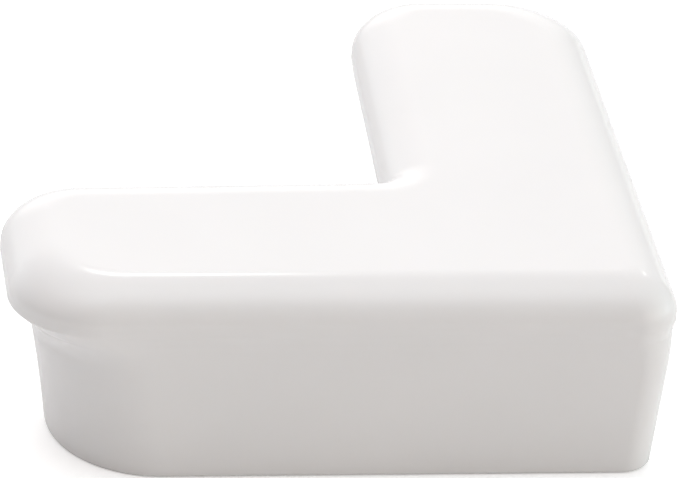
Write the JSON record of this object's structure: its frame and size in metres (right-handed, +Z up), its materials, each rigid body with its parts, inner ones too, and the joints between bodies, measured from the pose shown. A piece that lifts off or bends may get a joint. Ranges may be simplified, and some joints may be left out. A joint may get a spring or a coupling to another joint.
{
  "type": "furniture corner protector",
  "caption": "L-shaped moulded guard for a table's corner, with a rounded flange over the top and a thick wall over the edges.",
  "frame": {"origin": "middle of the bounding box's bottom, in the plane of the wall's foot", "axes": "+Z up, from the wall's foot to the flat top; the guarded corner points to +X and -Y, one leg runs to -X and the other to +Y"},
  "size_m": [0.06, 0.06, 0.0193],
  "materials": {
    "gloss_white_plastic": "smooth gloss, as moulded"
  },
  "bodies": {
    "root": {"corner_protector": "gloss_white_plastic"}
  },
  "joints": []
}
